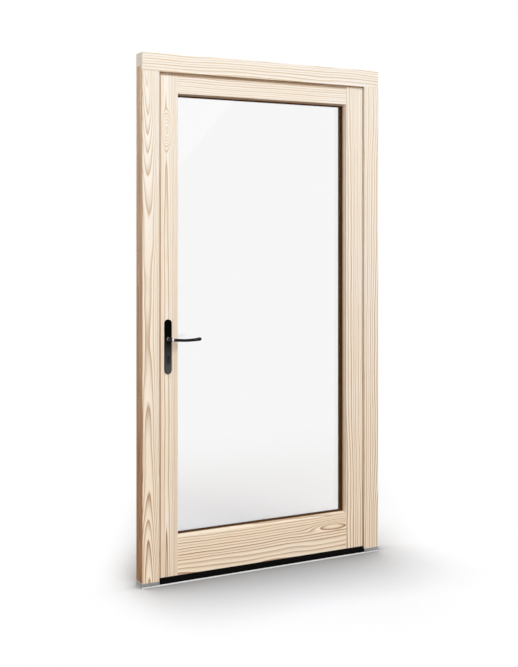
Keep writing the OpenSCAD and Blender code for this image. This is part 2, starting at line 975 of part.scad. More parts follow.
module drive_rod() {
  screw_room = wood_screw[1] + 0.5 + slide_play;
  color(steel)
    difference() {
      for (span = [[rod_bottom, window_bottom], [window_top, rod_top]])
        slot_x(span[0], span[1], rod_w, rod_front, rod_front + rod_t);
      for (z = case_screw_z)
        slot_x(z - screw_room, z + rod_travel + screw_room, 2 * screw_room, rod_front - cut, case_front);
    }
}

// Strips on both sides of the window that join the two bars
module rod_bridge() {
  strip = [bolt_t / 2 + slide_play, rod_w / 2];
  color(steel)
    for (y = [lock_y - strip[1], lock_y + strip[0]])
      box([rod_front, y, window_bottom], [rod_front + rod_t, y + strip[1] - strip[0], window_top]);
}

module roller_cams() {
  color(steel)
    for (z = cam_z) {
      along_x([-leaf_x - slide_play - cam_l, lock_y, z], cam_l, cam_r);
      along_x([-leaf_x - slide_play - cut, lock_y, z], rod_front + leaf_x + slide_play + cut, cam_neck_r);
    }
}

module gear_case() {
  color(steel)
    difference() {
      slot_x(case_bottom, case_top, case_t, case_front, case_back);
      along_y([spindle_x, lock_y - case_t, handle_h], 2 * case_t, follower_r + turn_play);
      along_y([spindle_x, lock_y - case_t, cylinder_z], 2 * case_t, cam_sweep + 1);
      key_profile(0.25, lock_y - case_t, lock_y + case_t);
      slot_x(bolt_z - bolt_h / 2 - slide_play, bolt_z + bolt_h / 2 + slide_play, bolt_t + 2 * slide_play,
        case_front - cut, bolt_back + slide_play);
      cylinder_screw_body();
      plate_screw_holes();
    }
}

module dead_bolt() {
  color(steel)
    bar_z([[-leaf_x, lock_y - bolt_t / 2, 1], [bolt_back, lock_y - bolt_t / 2, 0],
      [bolt_back, lock_y + bolt_t / 2, 0], [-leaf_x, lock_y + bolt_t / 2, 1]],
      bolt_z - bolt_h / 2, bolt_z + bolt_h / 2);
}

key_out = leaf_out - plate_t - key_end;
key_in = leaf_in + plate_t + key_end;

module cylinder_body() {
  gap = [lock_y - key_gap / 2, lock_y + key_gap / 2];
  color("silver")
    difference() {
      key_profile(0, key_out, key_in);
      box([spindle_x - 2 * key_r, gap[0], cylinder_z - key_leg[1] + key_bridge],
        [spindle_x + 2 * key_r, gap[1], cylinder_z + 2 * key_r]);
      along_y([spindle_x, key_out - cut, cylinder_z], key_in - key_out + 2 * cut, plug_r + turn_play);
      cylinder_screw_body();
    }
}

module cylinder_screw_body() {
  translate([-leaf_x, lock_y, cylinder_screw_z])
    rotate([0, 90, 0])
      screw(backset - 1, cylinder_screw_r, cylinder_screw_r + 2);
}

module cylinder_screw() {
  color(steel)
    cylinder_screw_body();
}

// A plug with its keyway, from its outer face inwards
module plug(from, to, mouth) {
  keyway = [2.4, 8, 26];
  deep = mouth < lock_y ? [mouth - cut, mouth + keyway[2]] : [mouth - keyway[2], mouth + cut];
  difference() {
    along_y([spindle_x, from, cylinder_z], to - from, plug_r);
    box([spindle_x - keyway[0] / 2, deep[0], cylinder_z - 5],
      [spindle_x + keyway[0] / 2, deep[1], cylinder_z - 5 + keyway[1]]);
  }
}

module plug_outer() {
  color("silver")
    plug(key_out, lock_y - key_gap / 2 + slide_play, key_out);
}

module plug_inner() {
  color("silver")
    plug(lock_y + key_gap / 2 - slide_play + 0.1, key_in, key_in);
}

module cylinder_cam() {
  half = key_gap / 2 - slide_play;
  color(steel) {
    along_y([spindle_x, lock_y - half, cylinder_z], 2 * half, plug_r + 1.5);
    box([spindle_x - 3.5, lock_y - half, cylinder_z],
      [spindle_x + 3.5, lock_y + half, cylinder_z + cam_sweep - 0.5]);
  }
}

// Handle plates with round ends and a rounded rim
module plate_body() {
  r = plate_w / 2;
  low = cylinder_z - plate_below + r;
  high = handle_h + plate_above - r;
  rim = plate_t * 0.45;
  half = [[0, 0, 0], [r, 0, 0], [r, plate_t, rim], [0, plate_t, 0]];
  for (z = [low, high])
    translate([spindle_x, leaf_out, z])
      rotate([90, 0, 0])
        rotate_extrude()
          polygon(rounded(half));
  translate([spindle_x, leaf_out, 0])
    mirror([0, 1, 0])
      bar_z([[-r, 0, 0], [r, 0, 0], [r, plate_t, rim], [-r, plate_t, rim]], low, high);
}

module plate() {
  difference() {
    plate_body();
    along_y([spindle_x, leaf_out - plate_t - cut, handle_h], plate_t + 2 * cut, journal_r + turn_play);
    key_profile(0.3, leaf_out - plate_t - cut, leaf_out + cut);
  }
}

plate_screw_r = 2.5;
plate_screw_head_r = 4.5;
plate_screw_play = 0.5;
plate_screw_bite = 2;

module plate_screw_holes() {
  for (z = plate_screw_z)
    along_y([spindle_x, leaf_out - cut, z], leaf_in - leaf_out + 2 * cut,
      plate_screw_r + plate_screw_play);
}

module plate_screw_bodies() {
  for (z = plate_screw_z)
    translate([spindle_x, leaf_in + plate_t, z])
      rotate([90, 0, 0])
        screw(leaf_in + plate_t - leaf_out + plate_screw_bite, plate_screw_r, plate_screw_head_r);
}

module plate_outer() {
  color(black)
    difference() {
      plate();
      plate_screw_bodies();
    }
}

module plate_inner() {
  color(black)
    difference() {
      inner_face()
        plate();
      plate_screw_bodies();
    }
}

module plate_screws() {
  color(black)
    plate_screw_bodies();
}

// Lever: rings along the neck, the elbow, the grip and the round tip. A ring is its middle, its
// heading (0 away from the leaf, 90 along the leaf), its half height and its half depth.
ring_n = 24;
elbow_y = leaf_out - grip_reach + elbow_r;
function mix(a, b, t) = a + (b - a) * t;
function grip_half(t) = grip_h / 2 * (1 - 0.1 * sin(180 * t) + 0.15 * t * t);
function grip_mid(t, length) = [spindle_x + mix(elbow_r, length, t), leaf_out - grip_reach,
  handle_h - grip_sag * sin(180 * t)];
neck_rings = [for (t = [0 : 0.5 : 1])
  [[spindle_x, mix(leaf_out - plate_t - slide_play, elbow_y, t), handle_h], 0, neck_r, neck_r]];
elbow_rings = [for (t = [0.125 : 0.125 : 1])
  [[spindle_x + elbow_r * (1 - cos(90 * t)), elbow_y - elbow_r * sin(90 * t), handle_h], 90 * t,
    mix(neck_r, grip_half(0), t), mix(neck_r, grip_t / 2, t)]];
function grip_rings(length) = [for (t = [0.0625 : 0.0625 : 1])
  [grip_mid(t, length), 90, grip_half(t), grip_t / 2 * (1 - 0.1 * t)]];
function tip_rings(length) = [for (a = [20, 40, 60, 80])
  [grip_mid(1, length) + [grip_half(1) * sin(a), 0, 0], 90, grip_half(1) * cos(a),
    grip_t / 2 * 0.9 * cos(a)]];

function ring_points(g) =
  let (side = [cos(g[1]), sin(g[1]), 0])
  [for (i = [0 : ring_n - 1])
    g[0] + side * g[3] * cos(360 * i / ring_n) + [0, 0, g[2] * sin(360 * i / ring_n)]];

module lever_body(length) {
  rings = concat(neck_rings, elbow_rings, grip_rings(length), tip_rings(length));
  last = len(rings) - 1;
  walls = [for (j = [0 : last - 1])
    for (i = [0 : ring_n - 1])
      let (k = (i + 1) % ring_n)
      [j * ring_n + i, (j + 1) * ring_n + i, (j + 1) * ring_n + k, j * ring_n + k]];
  first_cap = [for (i = [0 : ring_n - 1]) i];
  last_cap = [for (i = [0 : ring_n - 1]) last * ring_n + ring_n - 1 - i];
  polyhedron([for (g = rings) each ring_points(g)], concat(walls, [first_cap, last_cap]));
}

spindle_end = 16;
spindle_out = leaf_out - plate_t - spindle_end;
spindle_in = leaf_in + plate_t + spindle_end;
journal_in_neck = 4;

module lever(length) {
  color(black)
    difference() {
      union() {
        lever_body(length);
        along_y([spindle_x, leaf_out - plate_t - journal_in_neck, handle_h],
          plate_t + journal_in_neck, journal_r);
      }
      spindle_bar(0.1);
    }
}

module lever_outer() {
  lever(grip_l);
}

module lever_inner() {
  inner_face()
    lever(inner_grip_l);
}

module spindle_bar(clear) {
  half = spindle_w / 2 + clear;
  box([spindle_x - half, spindle_out - clear, handle_h - half],
    [spindle_x + half, spindle_in + clear, handle_h + half]);
}

module spindle() {
  color(steel)
    spindle_bar(0);
}

module follower() {
  color(steel)
    difference() {
      along_y([spindle_x, lock_y - case_t / 2, handle_h], case_t, follower_r);
      spindle_bar(0.1);
    }
}

jamb_lock();
jamb_hinge();
head();
frame_dowels();
threshold_base();
threshold_core();
foot_lock();
foot_hinge();
foot_screws();
weather_seal();
keep_bottom();
keep_lower();
keep_upper();
keep_top();
keep_bolt();
keep_screws();
hinge_pin_bottom();
hinge_pin_middle();
hinge_pin_top();
stile_lock();
stile_hinge();
rail_top();
rail_bottom();
leaf_dowels();
pane_outer();
pane_inner();
glass_spacer();
glass_sealant();
gasket_outer();
gasket_inner();
bead_lock();
bead_hinge();
bead_top();
bead_bottom();
glazing_blocks();
flange_seal();
bottom_seal();
hinge_barrel_bottom();
hinge_barrel_middle();
hinge_barrel_top();
faceplate();
faceplate_screws();
gear_case();
cylinder_body();
cylinder_screw();
plate_outer();
plate_inner();
plate_screws();
lever_outer();
lever_inner();
spindle();
follower();
drive_rod();
rod_bridge();
roller_cams();
dead_bolt();
plug_outer();
cylinder_cam();
plug_inner();
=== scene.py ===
# %% [markdown]
# # A glazed pine door in its frame
# This lesson dresses a finished construction: a single door leaf of bare pine with double glazing, hung in
# a rebated frame on a low aluminium threshold. The construction comes as a fixed frame of nodes, one for
# each real piece, so the work here is the finish of every surface, the smooth lever handles and the light.
# Everything is in metres, with X along the width, Y from outside to inside and Z up.

# %% Load the construction
import math
from collections import namedtuple

import bpy
import numpy as np
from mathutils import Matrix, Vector


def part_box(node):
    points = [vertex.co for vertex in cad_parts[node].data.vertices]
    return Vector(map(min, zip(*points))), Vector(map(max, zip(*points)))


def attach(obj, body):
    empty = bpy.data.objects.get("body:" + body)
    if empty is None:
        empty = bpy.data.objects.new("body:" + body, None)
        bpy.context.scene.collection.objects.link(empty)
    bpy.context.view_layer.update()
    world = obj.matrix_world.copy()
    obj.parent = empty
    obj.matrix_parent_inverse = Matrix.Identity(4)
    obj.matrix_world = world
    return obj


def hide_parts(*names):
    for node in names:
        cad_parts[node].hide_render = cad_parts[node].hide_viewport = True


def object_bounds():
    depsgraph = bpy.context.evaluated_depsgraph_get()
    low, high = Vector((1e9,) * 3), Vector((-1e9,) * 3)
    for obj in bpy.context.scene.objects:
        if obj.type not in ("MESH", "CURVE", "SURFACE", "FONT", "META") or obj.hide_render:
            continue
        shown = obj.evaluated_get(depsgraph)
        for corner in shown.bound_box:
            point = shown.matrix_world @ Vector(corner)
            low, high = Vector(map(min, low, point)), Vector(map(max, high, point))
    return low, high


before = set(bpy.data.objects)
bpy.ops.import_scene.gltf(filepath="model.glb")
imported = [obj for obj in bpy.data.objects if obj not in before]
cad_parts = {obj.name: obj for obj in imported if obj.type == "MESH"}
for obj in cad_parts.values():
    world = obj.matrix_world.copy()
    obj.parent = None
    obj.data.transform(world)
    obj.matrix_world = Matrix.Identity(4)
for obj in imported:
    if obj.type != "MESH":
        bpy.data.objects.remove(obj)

construction_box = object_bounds()
scene = bpy.context.scene
print("nodes:", len(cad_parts), "box:", [[round(v, 3) for v in corner] for corner in construction_box])

# %% [markdown]
# ## The camera
# The picture was taken with a level camera: all upright edges of the door stay upright in it. A tilted
# camera would make them lean, so this one stays level and its lens is shifted down, as an architect's
# camera does, and the horizon lies above the middle of the picture. The viewpoint was found from the
# corners of the frame.

# %% Camera
PICTURE = (518, 667)
FOCAL_PIXELS = 1061.6
HORIZON_ROW = 234.7
VIEWPOINT = (-2.043, -3.929, 1.385)
TURN_RIGHT = math.radians(27.24)
SENSOR_MM = 36.0


def add_camera():
    """A level camera: its lens in pixels is scaled to the sensor, and its shift puts the horizon in place."""
    data = bpy.data.cameras.new("camera")
    long_side = max(PICTURE)
    data.sensor_width = SENSOR_MM
    data.lens = FOCAL_PIXELS / long_side * SENSOR_MM
    data.shift_y = (HORIZON_ROW - PICTURE[1] / 2) / long_side
    camera = bpy.data.objects.new("camera", data)
    camera.location = VIEWPOINT
    camera.rotation_euler = (math.pi / 2, 0.0, -TURN_RIGHT)
    scene.collection.objects.link(camera)
    scene.camera = camera
    return data


camera_data = add_camera()
print("lens", round(camera_data.lens, 2), "mm, shift", round(camera_data.shift_y, 3))

# %% [markdown]
# ## Short calls for nodes
# A procedural material is a small formula made of nodes. Nodes can be linked one by one, but that takes
# five lines for each step of the formula. So this cell defines calls that add a node, fill its sockets with
# numbers or with other nodes' outputs, and give back the output that the next step needs.

# %% Calls for nodes
X_AXIS, Y_AXIS, Z_AXIS = (1.0, 0.0, 0.0), (0.0, 1.0, 0.0), (0.0, 0.0, 1.0)
NOISE_LOW, NOISE_HIGH = 0.3, 0.7
MIX_SHARE, MIX_FIRST, MIX_SECOND, MIX_RESULT = 0, 6, 7, 2


class Nodes:
    """Short calls that add nodes to one tree."""

    def __init__(self, tree):
        self.tree = tree

    def fill(self, socket, value):
        """Link another node's output to a socket, or write a plain value into it."""
        if isinstance(value, bpy.types.NodeSocket):
            self.tree.links.new(value, socket)
        else:
            socket.default_value = value

    def set(self, node, **sockets):
        """Fill a node's sockets by name, with _ for a space."""
        for name, value in sockets.items():
            self.fill(node.inputs[name.replace("_", " ")], value)

    def add(self, kind, settings=None, **sockets):
        """Add a node, choose its settings and fill its sockets."""
        node = self.tree.nodes.new(kind)
        for name, value in (settings or {}).items():
            setattr(node, name, value)
        self.set(node, **sockets)
        return node

    def math(self, operation, a, b=0.0):
        """One step of arithmetic on one or two values."""
        node = self.add("ShaderNodeMath", {"operation": operation})
        self.fill(node.inputs[0], a)
        self.fill(node.inputs[1], b)
        return node.outputs[0]

    def vector(self, operation, a, b=(0.0, 0.0, 0.0)):
        """One step of arithmetic on vectors. A length and a dot product give a value."""
        node = self.add("ShaderNodeVectorMath", {"operation": operation})
        self.fill(node.inputs[0], a)
        self.fill(node.inputs[1], b)
        return node.outputs["Value" if operation in ("LENGTH", "DOT_PRODUCT") else "Vector"]

    def mapping(self, vector, kind="POINT", **sockets):
        """Scale, turn and move a vector. The kind TEXTURE does the opposite."""
        return self.add("ShaderNodeMapping", {"vector_type": kind}, Vector=vector, **sockets).outputs[0]

    def noise(self, vector, scale, seed, detail, colour=False):
        """Smooth noise, as one value or as a colour of three values."""
        node = self.add("ShaderNodeTexNoise", {"noise_dimensions": "4D"},
                        Vector=vector, Scale=scale, W=seed, Detail=detail)
        return node.outputs[1 if colour else 0]

    def span(self, value, low, high, to_low=0.0, to_high=1.0, smooth=False):
        """Carry a value from one range to another, held at the ends."""
        node = self.add("ShaderNodeMapRange", {"interpolation_type": "SMOOTHSTEP" if smooth else "LINEAR"},
                        Value=value, From_Min=low, From_Max=high, To_Min=to_low, To_Max=to_high)
        return node.outputs[0]

    def spread(self, noise, to_low=0.0, to_high=1.0):
        """Carry the range in which a noise mostly lies to another range."""
        return self.span(noise, NOISE_LOW, NOISE_HIGH, to_low, to_high)

    def ramp(self, value, stops):
        """A grey curve through (position, grey) stops."""
        node = self.add("ShaderNodeValToRGB", Fac=value)
        elements = node.color_ramp.elements
        while len(elements) < len(stops):
            elements.new(1.0)
        for element, (position, grey) in zip(elements, stops):
            element.position = position
            element.color = (grey, grey, grey, 1.0)
        return node.outputs[0]

    def blend(self, share, first, second, kind="MIX"):
        """Mix two colours, each given as a socket or as a colour."""
        node = self.add("ShaderNodeMix", {"data_type": "RGBA", "blend_type": kind})
        for index, value in ((MIX_SHARE, share), (MIX_FIRST, first), (MIX_SECOND, second)):
            self.fill(node.inputs[index], value)
        return node.outputs[MIX_RESULT]


print("calls:", [name for name in vars(Nodes) if not name.startswith("_")])

# %% [markdown]
# ## One finish
# Every surface of the door gets a material with one shader. Its pattern could follow a flat map of the
# surface, but the pieces have none, so all patterns read the place in metres instead, which fits from piece
# to piece.

# %% Finish


class Finish(Nodes):
    """One material: a Principled shader and the nodes that feed it."""

    def __init__(self, name):
        self.material = bpy.data.materials.new(name)
        self.material.use_nodes = True
        super().__init__(self.material.node_tree)
        self.tree.nodes.clear()
        self.shader = self.add("ShaderNodeBsdfPrincipled")
        self.output = self.add("ShaderNodeOutputMaterial", Surface=self.shader.outputs[0])
        self.object = self.add("ShaderNodeTexCoord").outputs["Object"]

    def place(self, axis):
        """The place along one axis."""
        return self.vector("DOT_PRODUCT", self.object, axis)

    def look(self, **sockets):
        """Fill the shader's own sockets."""
        self.set(self.shader, **sockets)

    def bump(self, height, distance, strength):
        """Shade the surface as if it rose by height times distance."""
        node = self.add("ShaderNodeBump", Height=height, Distance=distance, Strength=strength)
        self.look(Normal=node.outputs[0])

    def show_instead(self, share, other):
        """Show another shader instead of this one, as far as share says."""
        either = self.add("ShaderNodeMixShader")
        for socket, value in zip(either.inputs, (share, self.shader.outputs[0], other.outputs[0])):
            self.fill(socket, value)
        self.set(self.output, Surface=either.outputs[0])


def colour(red, green, blue):
    """A screen colour from 0 to 255, as the linear colour that a shader takes."""
    screen = np.array([red, green, blue]) / 255.0
    linear = np.where(screen <= 0.04045, screen / 12.92, ((screen + 0.055) / 1.055) ** 2.4)
    return (*(float(v) for v in linear), 1.0)


def dress(finish, *names):
    """Give construction nodes a finish."""
    for name in names:
        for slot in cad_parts[name].material_slots:
            slot.material = finish.material
    print(finish.material.name, "on", len(names), "nodes")


print("screen grey 128 is", [round(v, 3) for v in colour(128, 128, 128)])

# %% [markdown]
# ## Pine: the rings
# Planed pine shows its growth rings as lines: pale early wood that darkens slowly into a honey-coloured
# late wood and then stops sharply. A flat image of wood would show the same lines on the end of a board as
# on its face. Here the wood is a solid log instead: rings are cylinders round the pith, and every face of a
# board cuts through them, so a face shows long lines and arches while an end shows arcs, as on a sawn
# board. An eye is a place where the rings dip round a grown-over branch.

# %% Growth rings
RING_PROFILE = ((0.0, 0.0), (0.38, 0.06), (0.70, 0.5), (0.89, 1.0), (1.0, 0.0))
WANDER_SCALE = (8.0, 8.0, 2.2)
YEAR_SCALE, YEAR_SEED, YEAR_SPREAD = (22.0, 22.0, 0.0), 3.0, 1.6
FAINTEST_YEAR = 0.5
Eye = namedtuple("Eye", "place reach depth")
Board = namedtuple("Board", "node level pith lean bow ring wander seed eyes", defaults=((),))


def board_place(f, board):
    """The place in a board, from its middle and with z along the grain, which lies along X in a level one."""
    low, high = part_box(board.node)
    turn = (0.0, math.pi / 2, 0.0) if board.level else (0.0, 0.0, 0.0)
    return f.mapping(f.object, "TEXTURE", Location=(low + high) / 2, Rotation=turn)


def log_place(f, inside, board):
    """The place in the log that the board was sawn from: moved off the pith, turned by the lean, and with
    y + bow z^2 where the log grew in a bow."""
    log = f.mapping(inside, Location=(-board.pith[0], -board.pith[1], 0.0), Rotation=(*board.lean, 0.0))
    along = f.vector("DOT_PRODUCT", log, Z_AXIS)
    bowed = f.add("ShaderNodeCombineXYZ", Y=f.math("MULTIPLY", f.math("MULTIPLY", along, along), board.bow))
    return f.vector("ADD", log, bowed.outputs[0])


def ring_shade(f, log, board):
    """0 in early wood to 1 in late wood: a saw-tooth of r / ring, where r = |(x, y) + wander(x, y, z)|, less
    a smooth dip at each eye. A slow noise makes years wider or narrower, and each year has its own depth."""
    stray = f.noise(f.mapping(log, Scale=WANDER_SCALE), 1.0, board.seed, 2.0, colour=True)
    stray = f.vector("SUBTRACT", stray, (0.5, 0.5, 0.5))
    bent = f.vector("ADD", log, f.vector("MULTIPLY", stray, (2 * board.wander, 2 * board.wander, 0.0)))
    across = f.vector("MULTIPLY", bent, (1.0, 1.0, 0.0))
    distance = f.vector("LENGTH", across)
    for eye in board.eyes:
        near = f.add("ShaderNodeTexGradient", {"gradient_type": "SPHERICAL"},
                     Vector=f.mapping(f.object, "TEXTURE", Location=eye.place, Scale=eye.reach))
        dip = f.span(near.outputs["Fac"], 0.0, 1.0, 0.0, eye.depth, smooth=True)
        distance = f.math("SUBTRACT", distance, dip)
    years = f.noise(f.mapping(across, Scale=YEAR_SCALE), 1.0, board.seed + YEAR_SEED, 1.0)
    count = f.math("DIVIDE", distance, board.ring)
    count = f.math("ADD", count, f.math("MULTIPLY", years, YEAR_SPREAD))
    year = f.add("ShaderNodeTexWhiteNoise", {"noise_dimensions": "1D"}, W=f.math("FLOOR", count))
    depth = f.span(year.outputs["Value"], 0.0, 1.0, FAINTEST_YEAR, 1.0)
    return f.math("MULTIPLY", f.ramp(f.math("FRACT", count), RING_PROFILE), depth)


print("a ring's shade from early to late wood:", RING_PROFILE)

# %% [markdown]
# ## Pine: painted shade in the corners
# Corners are painted browner, as painted shade where less light reaches: on the leaf's face beside the
# frame's lip, where its shadow falls, on the lip's edge and in the depth of the bevel before the glass. It
# could be painted on each board by hand. A formula of the distance from the lip and from the glass does it
# alike on all boards and needs no map.

# %% Gathered finish
# Painted shade: a brown multiplied into the wood in the corners beside the frame's lip and in the glass
# reveal.
CORNER_SHADE_BROWN = colour(168, 132, 96)
LEAF_BOARDS = ("stile_lock", "stile_hinge", "rail_top", "rail_bottom")
FRAME_FACE, LEAF_FACE, GLASS_FACE = (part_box(name)[0].y for name in ("jamb_lock", "stile_lock", "pane_outer"))
LIP_SIDE, LIP_TOP = -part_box("jamb_lock")[1].x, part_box("head")[0].z
REVEAL_SIDE = -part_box("stile_lock")[1].x
REVEAL_LOW, REVEAL_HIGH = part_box("rail_bottom")[1].z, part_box("rail_top")[0].z
LIP_SKIN, LIP_DEPTH = (0.0004, 0.0012), 0.012
LIP_SHARE, HINGE_LIP_SHARE = 0.15, 0.35
SEAM_RISE, SEAM_FALL, SEAM_SHARE = (-0.0135, -0.0085), (-0.0060, -0.0035), 0.8
HINGE_SEAM, HINGE_SEAM_SHARE = (-0.0080, -0.0010), 0.15
FACE_SKIN = (0.001, 0.002)
REVEAL_EDGE, REVEAL_DEPTH = (0.0075, 0.0090), (-0.017, -0.010)
REVEAL_START, REVEAL_SHARE, LOW_REVEAL_SHARE = 0.06, 0.9, 0.3


def lip_painted_shade(f, node):
    """Painted shade on the edge of the frame's lip, which grows with the depth from the frame's face."""
    if node == "head":
        past = f.math("SUBTRACT", f.place(Z_AXIS), LIP_TOP)
    else:
        past = f.math("SUBTRACT", f.math("ABSOLUTE", f.place(X_AXIS)), LIP_SIDE)
    share = HINGE_LIP_SHARE if node == "jamb_hinge" else LIP_SHARE
    deep = f.span(f.place(Y_AXIS), FRAME_FACE, FRAME_FACE + LIP_DEPTH, 0.0, share)
    return f.math("MULTIPLY", f.span(past, *LIP_SKIN, 1.0, 0.0), deep)


def seam_painted_shadow(f, node):
    """Painted shadow of the lip: a band on the leaf's outer face, by the distance past the lip's edge."""
    past_side = f.math("SUBTRACT", f.math("ABSOLUTE", f.place(X_AXIS)), LIP_SIDE)
    past = f.math("MAXIMUM", past_side, f.math("SUBTRACT", f.place(Z_AXIS), LIP_TOP))
    if node == "stile_hinge":
        band = f.span(past, *HINGE_SEAM, 0.0, HINGE_SEAM_SHARE)
    else:
        rise = f.span(past, *SEAM_RISE, 0.0, SEAM_SHARE)
        band = f.math("MULTIPLY", rise, f.span(past, *SEAM_FALL, 1.0, 0.0))
    skin = f.span(f.place(Y_AXIS), LEAF_FACE + FACE_SKIN[0], LEAF_FACE + FACE_SKIN[1], 1.0, 0.0)
    return f.math("MULTIPLY", band, skin)


def reveal_painted_shade(f, node):
    """Painted shade on the bevel round the glass, which grows with the depth. The bottom rail's bevel gets
    less.
    """
    up = f.place(Z_AXIS)
    beyond = f.math("MAXIMUM", f.math("SUBTRACT", REVEAL_LOW, up), f.math("SUBTRACT", up, REVEAL_HIGH))
    aside = f.math("SUBTRACT", f.math("ABSOLUTE", f.place(X_AXIS)), REVEAL_SIDE)
    edge = f.span(f.math("MAXIMUM", beyond, aside), *REVEAL_EDGE, 1.0, 0.0)
    share = LOW_REVEAL_SHARE if node == "rail_bottom" else REVEAL_SHARE
    deep = f.span(f.place(Y_AXIS), GLASS_FACE + REVEAL_DEPTH[0], GLASS_FACE + REVEAL_DEPTH[1],
                  REVEAL_START, share)
    return f.math("MULTIPLY", edge, deep)


def painted_corner_shade(f, node):
    """How much painted shade a board gets, from 0 to 1."""
    if node in LEAF_BOARDS:
        return f.math("MAXIMUM", seam_painted_shadow(f, node), reveal_painted_shade(f, node))
    return lip_painted_shade(f, node)


print("lip at", round(LIP_SIDE, 3), round(LIP_TOP, 3), "reveal at", round(REVEAL_SIDE, 3))

# %% [markdown]
# ## Pine: colour of the boards
# Between the rings the wood is nearly white. Towards the floor it is painted warmer and stronger in colour,
# as painted shade for light that falls from above. Fine fibres run along every board. The frame's outer sides
# are streaky along the grain and painted darker and browner, most towards the floor, as painted shade on
# faces turned from the light, and the ends of the head are made paler. Wood could be mixed from a photo
# of each face, but then edges wouldn't match.

# %% Colour of pine
# Painted shade: the LOW colours near the floor are warmer than the HIGH ones at the top, and in the late wood
# darker, for light that falls from above.
EARLY_HIGH, EARLY_LOW = colour(252, 250, 246), colour(255, 244, 226)
LATE_HIGH, LATE_LOW = colour(206, 178, 134), colour(150, 96, 44)
PAINTED_SHADE_LOW_Z, PAINTED_SHADE_HIGH_Z = 0.1, 1.9
FIBRE_TINT, FIBRE_SCALE, FIBRE_RANGE = colour(246, 238, 226), (900.0, 900.0, 11.0), (0.35, 0.75)
WARM_TINT, WARM_SCALE, WARM_SEED = colour(255, 251, 244), (9.0, 9.0, 2.0), 7.0
# Painted shade for the frame's outer sides, which face away from the light: darker and browner, most towards
# the floor.
SIDE_SHADE_HIGH, SIDE_SHADE_LOW = colour(255, 246, 236), colour(212, 186, 160)
STREAK_TINT, STREAK_SCALE, STREAK_SEED = colour(214, 200, 186), (70.0, 70.0, 3.0), 9.0
STREAK_RANGE = (0.35, 0.65)
FRAME_SIDE, OUTER_SIDE_SKIN = float(construction_box[1][0]), (-0.0012, -0.0004)
PALE_END_SHARE = 0.8
RING_RELIEF, FIBRE_RELIEF = 0.6, 0.4


def planed_wood(f, inside, shade, fibre, seed):
    """Early and late wood mixed by the ring shade, with painted shade that warms and darkens it downwards,
    then tinted by fibres and by a slow drift of tone.
    """
    height = f.span(f.place(Z_AXIS), PAINTED_SHADE_LOW_Z, PAINTED_SHADE_HIGH_Z)
    # Painted shade: warmer and darker towards the floor.
    wood = f.blend(shade, f.blend(height, EARLY_LOW, EARLY_HIGH), f.blend(height, LATE_LOW, LATE_HIGH))
    wood = f.blend(f.span(fibre, *FIBRE_RANGE), wood, FIBRE_TINT, "MULTIPLY")
    warm = f.noise(f.mapping(inside, Scale=WARM_SCALE), 1.0, seed + WARM_SEED, 1.0)
    return f.blend(f.spread(warm), wood, WARM_TINT, "MULTIPLY")


def streaky_shaded_side(f, inside, wood, seed):
    """The frame's outer sides: painted shade that makes them darker and browner, most towards the floor, with
    dark streaks along the grain.
    """
    height = f.span(f.place(Z_AXIS), PAINTED_SHADE_LOW_Z, PAINTED_SHADE_HIGH_Z)
    rough = f.blend(1.0, wood, f.blend(height, SIDE_SHADE_LOW, SIDE_SHADE_HIGH), "MULTIPLY")
    streak = f.noise(f.mapping(inside, Scale=STREAK_SCALE), 1.0, seed + STREAK_SEED, 4.0)
    return f.blend(f.span(streak, *STREAK_RANGE), rough, STREAK_TINT, "MULTIPLY")


def pine(board):
    """Solid pine for one board. Late wood is a little smoother and stands proud with the fibres."""
    f = Finish("pine_" + board.node)
    inside = board_place(f, board)
    shade = ring_shade(f, log_place(f, inside, board), board)
    fibre = f.noise(f.mapping(inside, Scale=FIBRE_SCALE), 1.0, board.seed, 2.0)
    wood = planed_wood(f, inside, shade, fibre, board.seed)
    if not board.node.startswith("bead"):
        # Painted shade in the corners beside the lip and round the glass.
        wood = f.blend(painted_corner_shade(f, board.node), wood, CORNER_SHADE_BROWN, "MULTIPLY")
    aside = f.math("ABSOLUTE", f.place(X_AXIS))
    side = f.span(aside, FRAME_SIDE + OUTER_SIDE_SKIN[0], FRAME_SIDE + OUTER_SIDE_SKIN[1])
    if board.node == "head":
        wood = f.blend(f.math("MULTIPLY", side, PALE_END_SHARE), wood, EARLY_HIGH)
    # Painted shade on the jambs' outer sides, with streaks along the grain.
    if board.node.startswith("jamb"):
        wood = f.blend(side, wood, streaky_shaded_side(f, inside, wood, board.seed))
    relief = f.math("ADD", f.math("MULTIPLY", shade, RING_RELIEF), f.math("MULTIPLY", fibre, FIBRE_RELIEF))
    f.look(Base_Color=wood, Roughness=f.span(shade, 0.0, 1.0, 0.66, 0.5), Specular_IOR_Level=0.25)
    f.bump(relief, distance=0.0003, strength=0.6)
    return f


print("wood keeps its lower tone up to", PAINTED_SHADE_LOW_Z, "m and its upper tone from", PAINTED_SHADE_HIGH_Z, "m")

# %% [markdown]
# ## Pine: the boards
# Every board came from its own place in a log, so each has its own pith, lean, ring width and wander.
# Boards that are cut far from the pith show straight lines, and one cut beside it shows tall arches, most
# of all if its log grew in a bow. One noise for all boards would be shorter, but neighbours would look cut
# from one piece.

